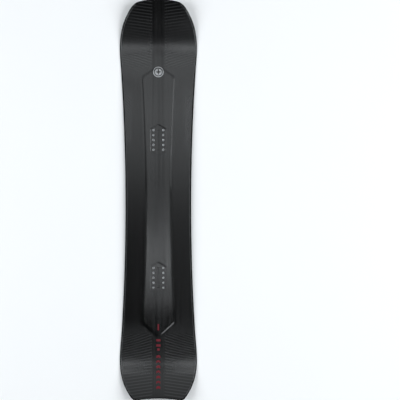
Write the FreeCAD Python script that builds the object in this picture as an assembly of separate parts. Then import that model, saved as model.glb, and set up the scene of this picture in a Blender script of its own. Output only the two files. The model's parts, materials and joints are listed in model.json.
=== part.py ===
import FreeCAD, Part
import math
import os

# A bare all-mountain snowboard: a wood-core laminate with steel edges and two packs of threaded binding inserts.
# Frame: +Y points to the nose, +X to the rider's right when looking at the nose, +Z up from the snow.
# Every layer is cut from the same few bodies, so that neighbouring pieces share their faces exactly.

# --- planform: half widths and stations of the right-hand outline, mm ---
NOSE_TIP_Y = 815.0
NOSE_END_R = 314.0
NOSE_END_HALF = 80.0
NOSE_SIDE = [(98.5, 794.5), (122.3, 762.0), (141.0, 721.3), (153.0, 672.6)]
NOSE_WIDEST = (157.0, 616.0)
SIDECUT_FRONT = (151.8, 526.0)
SIDECUT_WAIST = (133.7, -35.0)
SIDECUT_REAR = (149.3, -531.0)
TAIL_WIDEST = (157.0, -652.0)
TAIL_SIDE = [(153.3, -701.4), (140.4, -750.2), (119.1, -790.8), (103.5, -810.0), (94.0, -814.6)]
TAIL_TIP_Y = -806.0
TAIL_END_R = 480.0
TAIL_END_HALF = 84.0
END_POINTS = 7
SIDE_POINTS = (14, 4, 13, 4, 20)

# --- side profile ---
NOSE_CONTACT_Y = 590.0
TAIL_CONTACT_Y = -640.0
NOSE_KICK_R = 513.0
TAIL_KICK_R = 422.0
CAMBER = 7.0
PROFILE_REACH = 860.0
PROFILE_STEP = 40.0

# --- laminate, from the snow up ---
BASE_T = 1.2
TANG_T = 0.5
FOIL_T = 0.2
CORE_MID_T = 6.2
CORE_TIP_T = 1.6
UPPER_T = 0.7
TOP_T = 0.5
LOWER_T = TANG_T + FOIL_T
EDGE_T = BASE_T + LOWER_T
CORE_FULL_Y = (-400.0, 330.0)
CORE_THIN_Y = (-665.0, 620.0)

# --- pieces seen in plan: distances in from the outline ---
EDGE_W = 2.2
TANG_IN = 6.5
SIDEWALL_FOOT_IN = 0.8
SIDEWALL_HEAD_IN = 7.4
SIDEWALL_HEAD_RISE = 0.4
SIDEWALL_FOOT_DROP = 0.3
CORE_IN = 12.0
STRIP_W = 22.0
STRIP_COUNT = 11
NOSE_JOINT_Y = (610.0, 690.0)
TAIL_JOINT_Y = (-630.0, -705.0)

# --- relief of the top: a raised plateau, and a shallow pocket round each insert pack ---
PLATEAU_H = 1.2
PLATEAU_BEVEL = 12.0
PLATEAU_OVER = 0.6
PLATEAU_END_HALF = 10.0
PLATEAU_END_Y = (545.0, -556.0)
PLATEAU_CORNER_HALF = 71.0
PLATEAU_CORNER_Y = (504.0, -500.0)
PLATEAU_WAIST_HALF = 56.0
PLATEAU_POINTS = 21
POCKET_DEPTH = 0.7
POCKET_BEVEL = 3.0
POCKET_HALF_W = 33.0
POCKET_APEX = 65.0
POCKET_SHOULDER = 46.0
POCKET_OVER = 1.5

# --- binding inserts ---
PACK_Y = (244.0, -316.0)
COLUMN_X = 20.0
ROW_PITCH = 20.0
ROWS = 5
BORE_R = 2.5
BORE_MOUTH_R = 3.2
BARREL_R = 4.6
BARREL_SUNK = 0.1
FLANGE_R = 8.0
FLANGE_T = 1.0
SEAL_R = 7.0
SEAL_T = 0.8

# --- reinforcement and trim ---
MAT_HALF_W = 52.0
MAT_HALF_L = 74.0
MAT_T = 0.3
BAND_HALF_W = 25.0
BAND_T = 0.25
BASE_STAR_Y = 719.0
BASE_STAR_R = 35.0
BADGE_Y = 521.0
BADGE_R = 21.5
BADGE_STAR_R = 14.0
BADGE_T = 0.15
STAR_WAIST = 0.34

FLOOR_Z = -60.0
FOOT_Z = -40.0
CEILING_Z = 160.0
REACH_X = 220.0


def kick(run, radius):
    """Height gained after running a distance along a kick that leaves the snow tangentially."""
    return radius - math.sqrt(radius ** 2 - run ** 2)


def base_height(y):
    """Height of the running face above the snow."""
    if y > NOSE_CONTACT_Y:
        return kick(y - NOSE_CONTACT_Y, NOSE_KICK_R)
    if y < TAIL_CONTACT_Y:
        return kick(TAIL_CONTACT_Y - y, TAIL_KICK_R)
    middle = (NOSE_CONTACT_Y + TAIL_CONTACT_Y) / 2
    u = (y - middle) / (NOSE_CONTACT_Y - middle)
    return CAMBER * (1 - u * u) ** 2


def core_thickness(y):
    """Full under the feet, easing to the tip thickness at the contact lines."""
    full, thin = (CORE_FULL_Y[1], CORE_THIN_Y[1]) if y > 0 else (CORE_FULL_Y[0], CORE_THIN_Y[0])
    u = min(max((y - full) / (thin - full), 0.0), 1.0)
    return CORE_MID_T + (CORE_TIP_T - CORE_MID_T) * (1 - math.cos(math.pi * u)) / 2


def core_top(y):
    """Height of the core's upper face, away from the plateau."""
    return base_height(y) + EDGE_T + core_thickness(y)


def spline(points, start=None, end=None):
    """One smooth edge through the points, with its end tangents fixed where they are given."""
    curve = Part.BSplineCurve()
    if start:
        curve.interpolate(Points=points, InitialTangent=start, FinalTangent=end, Scale=False)
    else:
        curve.interpolate(points)
    return curve.toShape()


def below(height, foot_z):
    """Everything from a flat foot up to a height that depends on the station along the board only."""
    count = int(2 * PROFILE_REACH / PROFILE_STEP) + 1
    stations = [-PROFILE_REACH + PROFILE_STEP * i for i in range(count)]
    crest = [FreeCAD.Vector(-REACH_X, y, height(y)) for y in stations]
    foot = [FreeCAD.Vector(-REACH_X, y, foot_z) for y in (stations[0], stations[-1])]
    sides = [Part.makeLine(foot[0], crest[0]), Part.makeLine(crest[-1], foot[1])]
    outline = Part.Wire([sides[0], spline(crest), sides[1], Part.makeLine(foot[1], foot[0])])
    return Part.Face(outline).extrude(FreeCAD.Vector(2 * REACH_X, 0, 0))


def raised(shape, rise):
    """A copy of the shape moved straight up."""
    copy = shape.copy()
    copy.translate(FreeCAD.Vector(0, 0, rise))
    return copy


def between(lower, upper, plan):
    """The layer over one body and under another, inside a plan tower."""
    return upper.cut(lower).common(plan)


def samples(edges, counts):
    """Plan points along a run of edges, evenly spaced on each edge."""
    points = []
    for edge, count in zip(edges, counts):
        points += [(p.x, p.y) for p in edge.discretize(Number=count)[:-1]]
    end = edges[-1].discretize(Number=2)[-1]
    return points + [(end.x, end.y)]


def outline_plan():
    """The board's outline as four sides, clockwise from the nose: nose end, right, tail end, left."""
    nose_drop = kick(NOSE_END_HALF, NOSE_END_R)
    tail_drop = kick(TAIL_END_HALF, TAIL_END_R)
    nose_corner = FreeCAD.Vector(NOSE_END_HALF, NOSE_TIP_Y - nose_drop, 0)
    tail_corner = FreeCAD.Vector(TAIL_END_HALF, TAIL_TIP_Y - tail_drop, 0)
    nose_angle = math.asin(NOSE_END_HALF / NOSE_END_R)
    tail_angle = math.asin(TAIL_END_HALF / TAIL_END_R)
    back = FreeCAD.Vector(0, -1, 0)
    nose_widest, front, waist, rear, tail_widest = [
        FreeCAD.Vector(x, y, 0)
        for x, y in (NOSE_WIDEST, SIDECUT_FRONT, SIDECUT_WAIST, SIDECUT_REAR, TAIL_WIDEST)
    ]
    sidecut = Part.Arc(front, waist, rear)
    leave, arrive = [sidecut.tangent(u)[0] for u in (sidecut.FirstParameter, sidecut.LastParameter)]
    right = [
        spline(
            [nose_corner] + [FreeCAD.Vector(x, y, 0) for x, y in NOSE_SIDE] + [nose_widest],
            FreeCAD.Vector(math.cos(nose_angle), -math.sin(nose_angle), 0),
            back,
        ),
        spline([nose_widest, front], back, leave),
        sidecut.toShape(),
        spline([rear, tail_widest], arrive, back),
        spline(
            [tail_widest] + [FreeCAD.Vector(x, y, 0) for x, y in TAIL_SIDE] + [tail_corner],
            back,
            FreeCAD.Vector(-math.cos(tail_angle), math.sin(tail_angle), 0),
        ),
    ]
    right = samples(right, SIDE_POINTS)
    left = [(-x, y) for x, y in reversed(right)]
    nose_tip = FreeCAD.Vector(0, NOSE_TIP_Y, 0)
    tail_tip = FreeCAD.Vector(0, TAIL_TIP_Y, 0)
    mirrored = [FreeCAD.Vector(-p.x, p.y, 0) for p in (nose_corner, tail_corner)]
    nose = samples([Part.Arc(mirrored[0], nose_tip, nose_corner).toShape()], [END_POINTS])
    tail = samples([Part.Arc(tail_corner, tail_tip, mirrored[1]).toShape()], [END_POINTS])
    return [nose, right, tail, left]


def straight(start, end, count=2):
    """Evenly spaced points from start to end."""
    steps = [i / (count - 1) for i in range(count)]
    return [tuple(a + (b - a) * u for a, b in zip(start, end)) for u in steps]


def plateau_plan():
    """The plateau's foot: an octagon with two long sides that follow the sidecut."""
    end, corner = PLATEAU_END_HALF, PLATEAU_CORNER_HALF
    middle = (PLATEAU_CORNER_Y[0] + PLATEAU_CORNER_Y[1]) / 2
    arc = Part.Arc(
        FreeCAD.Vector(corner, PLATEAU_CORNER_Y[0], 0),
        FreeCAD.Vector(PLATEAU_WAIST_HALF, middle, 0),
        FreeCAD.Vector(corner, PLATEAU_CORNER_Y[1], 0),
    )
    right = samples([arc.toShape()], [PLATEAU_POINTS])
    left = [(-x, y) for x, y in reversed(right)]
    front = straight((end, PLATEAU_END_Y[0]), right[0], 4)
    rear = straight(right[-1], (end, PLATEAU_END_Y[1]), 4)
    return [
        straight((-end, PLATEAU_END_Y[0]), front[0]),
        front,
        right,
        rear,
        straight(rear[-1], (-end, PLATEAU_END_Y[1])),
        [(-x, y) for x, y in reversed(rear)],
        left,
        [(-x, y) for x, y in reversed(front)],
    ]


def pocket_plan(pack_y):
    """The six-sided pocket round one insert pack."""
    corners = [
        (0.0, pack_y + POCKET_APEX),
        (POCKET_HALF_W, pack_y + POCKET_SHOULDER),
        (POCKET_HALF_W, pack_y - POCKET_SHOULDER),
        (0.0, pack_y - POCKET_APEX),
        (-POCKET_HALF_W, pack_y - POCKET_SHOULDER),
        (-POCKET_HALF_W, pack_y + POCKET_SHOULDER),
    ]
    return [straight(a, b, 4) for a, b in zip(corners, corners[1:] + corners[:1])]


def normal(a, b):
    """Unit vector to the right of the way from a to b, which points into a clockwise plan."""
    length = math.dist(a, b)
    return (b[1] - a[1]) / length, (a[0] - b[0]) / length


def inset_plan(plan, distance):
    """The plan moved in by a distance, with its corners mitred."""
    result = []
    for i, side in enumerate(plan):
        before, after = plan[i - 1], plan[(i + 1) % len(plan)]
        path = [before[-2]] + side + [after[1]]
        moved = []
        for a, p, b in zip(path, path[1:], path[2:]):
            n, m = normal(a, p), normal(p, b)
            scale = distance / (1 + n[0] * m[0] + n[1] * m[1])
            moved.append((p[0] + scale * (n[0] + m[0]), p[1] + scale * (n[1] + m[1])))
        result.append(moved)
    return result


def tower(plan, levels):
    """A solid whose walls pass through the plan at each level, given as an inset and a height."""
    wires = []
    for inset, height in levels:
        edges = []
        for side in inset_plan(plan, inset):
            points = [FreeCAD.Vector(x, y, height(y)) for x, y in side]
            edges.append(spline(points) if len(points) > 2 else Part.makeLine(*points))
        wires.append(Part.Wire(edges))
    return Part.makeLoft(wires, True, True)


def floor(y):
    return FLOOR_Z


def ceiling(y):
    return CEILING_Z


def upright(plan, inset=0.0):
    """A tower with vertical walls."""
    return tower(plan, [(inset, floor), (inset, ceiling)])


def prism(points):
    """A vertical prism over a polygon."""
    corners = [FreeCAD.Vector(x, y, FLOOR_Z) for x, y in points]
    return Part.Face(Part.makePolygon(corners + corners[:1])).extrude(
        FreeCAD.Vector(0, 0, CEILING_Z - FLOOR_Z)
    )


def block(x0, x1, y0, y1):
    """A vertical prism over a rectangle."""
    return prism([(x0, y0), (x1, y0), (x1, y1), (x0, y1)])


def star(y, radius):
    """A four-pointed star centred on the board's axis."""
    points = []
    for i in range(8):
        reach = radius * (STAR_WAIST if i % 2 else 1.0)
        angle = math.radians(45 * i)
        points.append((reach * math.sin(angle), y + reach * math.cos(angle)))
    return prism(points)


def core_region():
    """The length of the board that holds wood, ending in a bowed joint at each tip."""
    corners = [
        FreeCAD.Vector(x, y, FLOOR_Z)
        for x, y in (
            (-REACH_X, NOSE_JOINT_Y[0]),
            (REACH_X, NOSE_JOINT_Y[0]),
            (REACH_X, TAIL_JOINT_Y[0]),
            (-REACH_X, TAIL_JOINT_Y[0]),
        )
    ]
    bows = [FreeCAD.Vector(0, y, FLOOR_Z) for y in (NOSE_JOINT_Y[1], TAIL_JOINT_Y[1])]
    outline = Part.Wire(
        [
            Part.Arc(corners[0], bows[0], corners[1]).toShape(),
            Part.makeLine(corners[1], corners[2]),
            Part.Arc(corners[2], bows[1], corners[3]).toShape(),
            Part.makeLine(corners[3], corners[0]),
        ]
    )
    return Part.Face(outline).extrude(FreeCAD.Vector(0, 0, CEILING_Z - FLOOR_Z))


def relief_body(under_core_top):
    """Everything under the core's upper face, with the plateau added and the pockets taken out."""
    slope = PLATEAU_BEVEL / PLATEAU_H
    over = PLATEAU_OVER * slope
    walls = tower(
        plateau_plan(),
        [
            (-over, floor),
            (-over, lambda y: core_top(y) - PLATEAU_OVER),
            (PLATEAU_BEVEL + over, lambda y: core_top(y) + PLATEAU_H + PLATEAU_OVER),
            (PLATEAU_BEVEL + over, ceiling),
        ],
    )
    body = under_core_top.fuse(raised(under_core_top, PLATEAU_H).common(walls))
    floor_rise = PLATEAU_H - POCKET_DEPTH
    over = POCKET_OVER * POCKET_BEVEL / POCKET_DEPTH
    for pack_y in PACK_Y:
        walls = tower(
            pocket_plan(pack_y),
            [
                (POCKET_BEVEL + over, floor),
                (POCKET_BEVEL + over, lambda y: core_top(y) + floor_rise - POCKET_OVER),
                (-over, lambda y: core_top(y) + PLATEAU_H + POCKET_OVER),
                (-over, ceiling),
            ],
        )
        body = body.cut(walls.cut(raised(under_core_top, floor_rise)))
    return body


def insert_sites(pack_y):
    """Centre of every insert in one pack."""
    rows = [pack_y + ROW_PITCH * (i - (ROWS - 1) / 2) for i in range(ROWS)]
    return [(x, y) for y in rows for x in (-COLUMN_X, COLUMN_X)]


def cylinder(x, y, z0, z1, radius):
    return Part.makeCylinder(radius, z1 - z0, FreeCAD.Vector(x, y, z0))


def insert_heights(y):
    """Underside of the flange and top of the barrel at one station."""
    flange = base_height(y) + EDGE_T + SEAL_T
    top = core_top(y) + UPPER_T + TOP_T + PLATEAU_H - POCKET_DEPTH
    return flange, top - BARREL_SUNK


def threaded_insert(x, y):
    """A flanged barrel nut: the flange is buried in the core, the barrel's mouth shows in the topsheet."""
    flange, top = insert_heights(y)
    body = cylinder(x, y, flange, flange + FLANGE_T, FLANGE_R)
    body = body.fuse(cylinder(x, y, flange, top, BARREL_R))
    mouth_h = BORE_MOUTH_R - BORE_R
    mouth = Part.makeCone(BORE_R, BORE_MOUTH_R, mouth_h, FreeCAD.Vector(x, y, top - mouth_h))
    return body.cut(cylinder(x, y, flange, top, BORE_R).fuse(mouth)).removeSplitter()


def insert_room(x, y):
    """The hole that one insert and its seal need in the layers."""
    flange, top = insert_heights(y)
    room = cylinder(x, y, flange, CEILING_Z, BARREL_R)
    room = room.fuse(cylinder(x, y, flange, flange + FLANGE_T, FLANGE_R))
    return room.fuse(cylinder(x, y, flange - SEAL_T - 1.0, flange, SEAL_R))


def save(name, shapes, shift):
    """Write one node as its separate solids."""
    solids = [solid for shape in shapes for solid in shape.Solids]
    node = solids[0] if len(solids) == 1 else Part.makeCompound(solids)
    node.translate(shift)
    node.exportStep(os.path.join("parts", name + ".step"))
    print(name, len(solids), round(sum(s.Volume for s in solids) / 1000, 2), node.isValid())


def main():
    os.makedirs("parts", exist_ok=True)
    plan = outline_plan()

    under_board = below(base_height, FLOOR_Z)
    under_lower = raised(under_board, BASE_T)
    under_foil = raised(under_lower, TANG_T)
    under_core = raised(under_board, EDGE_T)
    under_core_top = below(core_top, FOOT_Z)
    under_upper = relief_body(under_core_top)
    under_top = raised(under_upper, UPPER_T)
    top_face = raised(under_top, TOP_T)

    whole = upright(plan)
    edge_inner = upright(plan, EDGE_W)
    tang_inner = upright(plan, TANG_IN)
    core_plan = upright(plan, CORE_IN)
    bevelled = tower(
        plan,
        [
            (SIDEWALL_FOOT_IN, floor),
            (SIDEWALL_FOOT_IN, lambda y: base_height(y) + EDGE_T - SIDEWALL_FOOT_DROP),
            (SIDEWALL_HEAD_IN, lambda y: core_top(y) + UPPER_T + TOP_T + SIDEWALL_HEAD_RISE),
            (SIDEWALL_HEAD_IN, ceiling),
        ],
    )
    wooded = core_region()
    halves = {
        "left": block(-REACH_X, 0, -PROFILE_REACH, PROFILE_REACH),
        "right": block(0, REACH_X, -PROFILE_REACH, PROFILE_REACH),
    }
    sites = [site for pack_y in PACK_Y for site in insert_sites(pack_y)]
    rooms = Part.makeCompound([insert_room(x, y) for x, y in sites])

    nodes = {}
    base_star = star(BASE_STAR_Y, BASE_STAR_R)
    base = between(under_board, under_lower, edge_inner)
    nodes["base_sheet"] = [base.cut(base_star)]
    nodes["base_emblem_inlay"] = [base.common(base_star)]

    edge = between(under_board, under_core, whole.cut(edge_inner))
    tang_ring = edge_inner.cut(tang_inner)
    edge = edge.fuse(between(under_lower, under_foil, tang_ring))
    foil = between(under_foil, under_core, tang_ring)
    running = block(-REACH_X, REACH_X, TAIL_WIDEST[1], NOSE_WIDEST[1])
    ahead = block(-REACH_X, REACH_X, NOSE_WIDEST[1], PROFILE_REACH)
    behind = block(-REACH_X, REACH_X, -PROFILE_REACH, TAIL_WIDEST[1])
    for name, half in halves.items():
        nodes["steel_edge_" + name] = [edge.common(running).common(half)]
        nodes["edge_foil_" + name] = [foil.common(half)]
    nodes["nose_edge"] = [edge.common(ahead)]
    nodes["tail_edge"] = [edge.common(behind)]
    nodes["lower_laminate"] = [between(under_lower, under_core, tang_inner)]

    middle = between(under_core, under_upper, bevelled)
    wood = middle.common(core_plan).common(wooded)
    walls = middle.cut(core_plan).common(wooded)
    spacers = middle.cut(wooded)
    for name, half in halves.items():
        nodes["sidewall_" + name] = [walls.common(half)]
    nodes["nose_spacer"] = [spacers.common(block(-REACH_X, REACH_X, 0, PROFILE_REACH))]
    nodes["tail_spacer"] = [spacers.common(block(-REACH_X, REACH_X, -PROFILE_REACH, 0))]
    drilled = wood.cut(rooms)
    for i in range(STRIP_COUNT):
        x0 = (i - STRIP_COUNT / 2) * STRIP_W
        x1 = x0 + STRIP_W
        x0 = -REACH_X if i == 0 else x0
        x1 = REACH_X if i == STRIP_COUNT - 1 else x1
        strip = drilled.common(block(x0, x1, -PROFILE_REACH, PROFILE_REACH))
        nodes["core_strip_%02d" % (i + 1)] = [strip]

    for pack, pack_y in zip(("front", "rear"), PACK_Y):
        sites = insert_sites(pack_y)
        nodes[pack + "_inserts"] = [threaded_insert(x, y) for x, y in sites]
        seals = []
        for x, y in sites:
            flange = insert_heights(y)[0]
            seals.append(cylinder(x, y, flange - SEAL_T - 1.0, flange, SEAL_R).cut(under_core))
        nodes[pack + "_insert_seals"] = seals
        mat_plan = block(-MAT_HALF_W, MAT_HALF_W, pack_y - MAT_HALF_L, pack_y + MAT_HALF_L)
        mat = between(under_upper, raised(under_upper, MAT_T), mat_plan)
        nodes[pack + "_binding_mat"] = [mat.cut(rooms)]

    upper = between(under_upper, under_top, bevelled)
    band_plan = core_plan.common(block(-BAND_HALF_W, BAND_HALF_W, -PROFILE_REACH, PROFILE_REACH))
    band = between(raised(under_top, -BAND_T), under_top, band_plan)
    mats = [nodes["front_binding_mat"][0], nodes["rear_binding_mat"][0]]
    nodes["upper_laminate"] = [upper.cut([band, rooms] + mats)]
    nodes["centre_carbon_band"] = [band.cut(rooms)]

    badge_plan = cylinder(0, BADGE_Y, FLOOR_Z, CEILING_Z, BADGE_R).cut(star(BADGE_Y, BADGE_STAR_R))
    badge = between(raised(top_face, -BADGE_T), top_face, badge_plan)
    nodes["topsheet_emblem"] = [badge]
    nodes["topsheet"] = [between(under_top, top_face, bevelled).cut([badge, rooms])]

    solids = [solid for shapes in nodes.values() for shape in shapes for solid in shape.Solids]
    box = Part.makeCompound(solids).optimalBoundingBox(False)
    shift = FreeCAD.Vector(-box.Center.x, -box.Center.y, -box.ZMin)
    print("shift", shift, "box", box.XLength, box.YLength, box.ZLength)
    for name, shapes in nodes.items():
        save(name, shapes, shift)


main()
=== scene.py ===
import json
import math

import bpy
import numpy as np
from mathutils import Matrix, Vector, geometry


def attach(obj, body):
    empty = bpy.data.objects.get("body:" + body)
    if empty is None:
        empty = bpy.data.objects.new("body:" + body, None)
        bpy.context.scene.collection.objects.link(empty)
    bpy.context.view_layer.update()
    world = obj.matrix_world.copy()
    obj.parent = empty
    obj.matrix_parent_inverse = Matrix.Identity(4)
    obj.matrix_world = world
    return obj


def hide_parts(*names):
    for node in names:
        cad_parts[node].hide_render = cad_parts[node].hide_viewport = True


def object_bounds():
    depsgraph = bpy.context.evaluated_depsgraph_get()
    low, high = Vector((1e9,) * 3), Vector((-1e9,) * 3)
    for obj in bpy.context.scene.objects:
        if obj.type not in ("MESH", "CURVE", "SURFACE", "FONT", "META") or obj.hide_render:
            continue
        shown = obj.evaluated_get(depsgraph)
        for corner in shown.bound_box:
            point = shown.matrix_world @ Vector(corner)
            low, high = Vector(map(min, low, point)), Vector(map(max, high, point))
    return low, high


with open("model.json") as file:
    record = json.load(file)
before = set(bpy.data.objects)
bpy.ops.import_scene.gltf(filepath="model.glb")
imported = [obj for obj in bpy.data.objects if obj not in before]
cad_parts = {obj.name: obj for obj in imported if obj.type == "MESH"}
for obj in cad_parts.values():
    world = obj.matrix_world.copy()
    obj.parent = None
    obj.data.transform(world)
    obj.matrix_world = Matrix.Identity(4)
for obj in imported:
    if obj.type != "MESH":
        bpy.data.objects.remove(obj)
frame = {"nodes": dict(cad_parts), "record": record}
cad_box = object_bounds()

# The looks of a bare snowboard. Lengths below are in millimetres, and MM turns them into the frame's metres.
# The visible skins are fine meshes on the outline, camber, kicks and relief of the CAD nodes they replace.
MM = 0.001

# --- outline ---
NOSE_TIP_Y, NOSE_END_R, NOSE_END_HALF = 815.0, 314.0, 80.0
TAIL_TIP_Y, TAIL_END_R, TAIL_END_HALF = -806.0, 480.0, 84.0
NOSE_SIDE = [(98.5, 794.5), (122.3, 762.0), (141.0, 721.3), (153.0, 672.6)]
NOSE_WIDEST, TAIL_WIDEST = (157.0, 616.0), (157.0, -652.0)
SIDECUT = [(151.8, 526.0), (133.7, -35.0), (149.3, -531.0)]
TAIL_SIDE = [(153.3, -701.4), (140.4, -750.2), (119.1, -790.8), (103.5, -810.0), (94.0, -814.6)]
OUTLINE_STEP = 3.0
END_SAMPLES, SIDECUT_SAMPLES, SPLINE_SAMPLES = 60, 400, 40
# How many plan points are measured against the outline at once.
CHUNK = 1500

# --- side profile and layers ---
NOSE_CONTACT_Y, TAIL_CONTACT_Y = 590.0, -640.0
NOSE_KICK_R, TAIL_KICK_R = 513.0, 422.0
CAMBER = 7.0
BASE_T, EDGE_T = 1.2, 1.9
CORE_MID_T, CORE_TIP_T = 6.2, 1.6
CORE_FULL_Y, CORE_THIN_Y = (-400.0, 330.0), (-665.0, 620.0)
UPPER_T, TOP_T = 0.7, 0.5
EDGE_W = 2.2
FOOT_IN, HEAD_IN, FOOT_DROP, HEAD_RISE = 0.8, 7.4, 0.3, 0.4

# --- relief ---
PLATEAU_H, PLATEAU_BEVEL = 1.2, 12.0
PLATEAU_END_HALF, PLATEAU_END_Y = 10.0, (545.0, -556.0)
PLATEAU_CORNER_HALF, PLATEAU_CORNER_Y = 71.0, (504.0, -500.0)
PLATEAU_WAIST_HALF, PLATEAU_ROUND = 56.0, 7.0
POCKET_DEPTH, POCKET_BEVEL = 0.7, 3.0
POCKET_HALF_W, POCKET_APEX, POCKET_SHOULDER, POCKET_ROUND = 33.0, 65.0, 46.0, 1.5

# --- shading ---
# These turn only the shading normals, not the shape: the wings' shine leans outwards beside the plateau,
# the plateau's edges are softer behind the waist and at the front, and the kicks' shine lies nearer the tail.
WING_TILT, WING_START, WING_FADE, WING_END_Y = 5.0, 6.0, 11.0, 545.0
SOFT_Y, SOFT_FADE, SOFT_SHARE = (-500.0, 60.0), 70.0, 0.7
FRONT_SOFT_Y, FRONT_SOFT_FADE, FRONT_SOFT_SHARE = 496.0, 12.0, 0.6
NOSE_SHINE_LEAD, TAIL_SHINE_LEAD = 16.0, 14.0
KICK_SPREAD = (-18.0, -6.0, 6.0, 18.0)

# --- topsheet's finish: a pair of places is where a change starts and where it is complete ---
BAND_X = (28.0, 22.0)
RIB_PITCH, RIB_Y, RIB_WIDTH = 12.5, (450.0, 570.0), (0.25, 0.44)
RIB_LEAN, RIB_LEAN_Y = (0.6, 0.14), (420.0, 720.0)
HATCH_PITCH, HATCH_X, HATCH_WIDTH = 12.0, (95.0, 115.0), (0.15, 0.35)
HATCH_CENTRE_Y, HATCH_REACH = 330.0, (160.0, 80.0)
NOSE_GLOSS_Y = (580.0, 620.0)
TAIL_GLOSS_Y, TAIL_GLOSS_END_Y = (-635.0, -665.0), (-720.0, -690.0)
TAIL_SATIN_Y = (-690.0, -715.0)
WING_GREY, BAND_GREY, RIB_GREY, HATCH_GREY = (0.0015, 0.003), (0.0015, 0.008), 0.026, 0.02
PLAIN_COAT, TIP_COAT_PER_M, BAND_COAT_LOSS, TAIL_COAT_GAIN = 0.4, 4.6, 0.1, 1.8

# --- top skin's mesh ---
GRID_HALF_W, GRID_HALF_L, GRID_STEP, GRID_ROW = 150.0, 800.0, 3.0, 9.0
FINE_Y, FINE_ROW = ((496, 552), (-562, -492)), 3.0
PATCH_HALF_W, PATCH_HALF_L, PATCH_STEP, PATCH_ROW = 36.0, 68.0, 1.5, 2.0
# The rolled rim's loops, from the rim inwards: how far in, change in height, and the normal's lean outwards.
RIM_STEPS = ((0.0, -0.12, 1.0), (0.25, 0.0, 0.0), (1.1, 0.0, 0.0))
HEM_LEAN = 1.6
RIM_CLEAR, RIM_REACH, RIM_MATCH = 10.5, 9.0, 0.12
# The wings' finish sets in over this distance outside the plateau's foot.
WING_RISE = 6.0

# --- base, edges and flanks ---
BASE_STEP, BASE_ROW, BASE_CLEAR = 25.0, 10.0, 4.0
INLAY_Y, INLAY_R, INLAY_STEP = 719.0, 35.0, 6.0
STAR_POINTS, STAR_WAIST = 4, 0.34
EDGE_ROUND, EDGE_BREAK = 0.18, 0.15
METAL_CREASE, FLANK_CREASE, SHEET_CREASE = 30.0, 35.0, 40.0
FLANK_DEPTH, FLANK_LIP, FLANK_CROWN = 12.0, 0.2, 0.18
FLANK_SHARES = (0.08, 0.3, 0.55, 0.8, 1.0)
RIM_TUCK = 4.0
SPACER_JOINTS = ((152.0, 655.0), (150.0, -672.0))

# --- inserts ---
PACK_Y = (244.0, -316.0)
COLUMN_X, ROW_PITCH, ROWS = 20.0, 20.0, 5
BARREL_R, BORE_R, MOUTH_R, BARREL_SUNK = 4.6, 2.5, 3.1, 0.1
BARREL_RISE, BARREL_BREAK, BARREL_SEAM = 0.8, 0.25, 0.3
THREAD_PITCH, THREAD_DEPTH = 1.0, 0.45
LIP_R, LIP_W, LIP_DROP, LIP_MATCH, LIP_CLEAR = 3.75, 0.5, 0.06, 0.03, 1.0
TURNED_SIDES, ROUND_SIDES = 28, 64

# --- marks ---
INK_SUNK, INK_LIFT, RING_LIFT = 0.03, 0.03, 0.06
BADGE_Y, BADGE_R, BADGE_STAR_R, BADGE_STEP = 521.0, 21.5, 14.0, 5.0
RING_R, RING_BORE_R, RING_STEP = 18.0, 14.5, 50.0
CHEVRONS, CHEVRON_Y, CHEVRON_PITCH = 7, -637.0, 20.8
CHEVRON_HALF_W, CHEVRON_HALF_L, CHEVRON_SHOULDER, NOTCHES = 8.0, 6.5, 3.0, (3.5, 6.5)
TAIL_BARS, TAIL_BAR_HALF_L = ((-571.0, 8.5), (-592.0, 8.5), (-608.5, 5.0)), 4.5
TAIL_LEAD_Y, TAIL_LEAD_HALF_W = (-530.0, -505.0), 3.0
STANCE_HALF_W, STANCE_HALF_L = 0.8, 38.5
TICK_HALF_W, TICK_HALF_L, TICK_Y = 6.0, 1.0, 40.0

# --- stage ---
FLOOR_REACH, FLOOR_Z = 14000.0, -0.5
LAMP_COLOUR = (0.96, 1.0, 1.03)
# The world's strength falls from one level to the other between these two heights of a ray's direction.
WORLD_FADE, WORLD_LEVELS = (0.3, 0.8), (1.0, 0.06)
LENS, CLIP_END = 300.0, 100.0
# The width seen at about the skin's height, that height, and how far to the board's right the camera stands.
FRAME_WIDTH, FRAME_Z, CAMERA_X = 1626.0, 20.0, 169.4

# The CAD frame sits at the centre of its box, a fraction of a millimetre off the outline's own origin.
SHIFT_Y = cad_box[1][1] / MM - NOSE_TIP_Y
LIFT_Z = 0.02


# ---------------------------------------------------------------- shape of the board

def kick(run, radius):
    return radius - np.sqrt(radius ** 2 - run ** 2)


def base_z(y):
    """Height of the running face."""
    middle = (NOSE_CONTACT_Y + TAIL_CONTACT_Y) / 2
    u = (y - middle) / (NOSE_CONTACT_Y - middle)
    camber = CAMBER * (1 - u * u) ** 2
    nose = kick(np.clip(y - NOSE_CONTACT_Y, 0, None), NOSE_KICK_R)
    tail = kick(np.clip(TAIL_CONTACT_Y - y, 0, None), TAIL_KICK_R)
    return np.where(y > NOSE_CONTACT_Y, nose, np.where(y < TAIL_CONTACT_Y, tail, camber)) + LIFT_Z


def core_z(y):
    """Height of the core's upper face away from the plateau."""
    front = (y - CORE_FULL_Y[1]) / (CORE_THIN_Y[1] - CORE_FULL_Y[1])
    rear = (y - CORE_FULL_Y[0]) / (CORE_THIN_Y[0] - CORE_FULL_Y[0])
    u = np.clip(np.where(y > 0, front, rear), 0, 1)
    thickness = CORE_MID_T + (CORE_TIP_T - CORE_MID_T) * (1 - np.cos(np.pi * u)) / 2
    return base_z(y) + EDGE_T + thickness


def smooth_max(values, radius):
    """The largest of several distances, rounded where two of them meet."""
    top = values[0]
    for v in values[1:]:
        h = np.clip(0.5 + 0.5 * (top - v) / radius, 0, 1)
        top = v + (top - v) * h + radius * h * (1 - h)
    return top


def ease(u):
    u = np.clip(u, 0, 1)
    return u * u * (3 - 2 * u)


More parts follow.
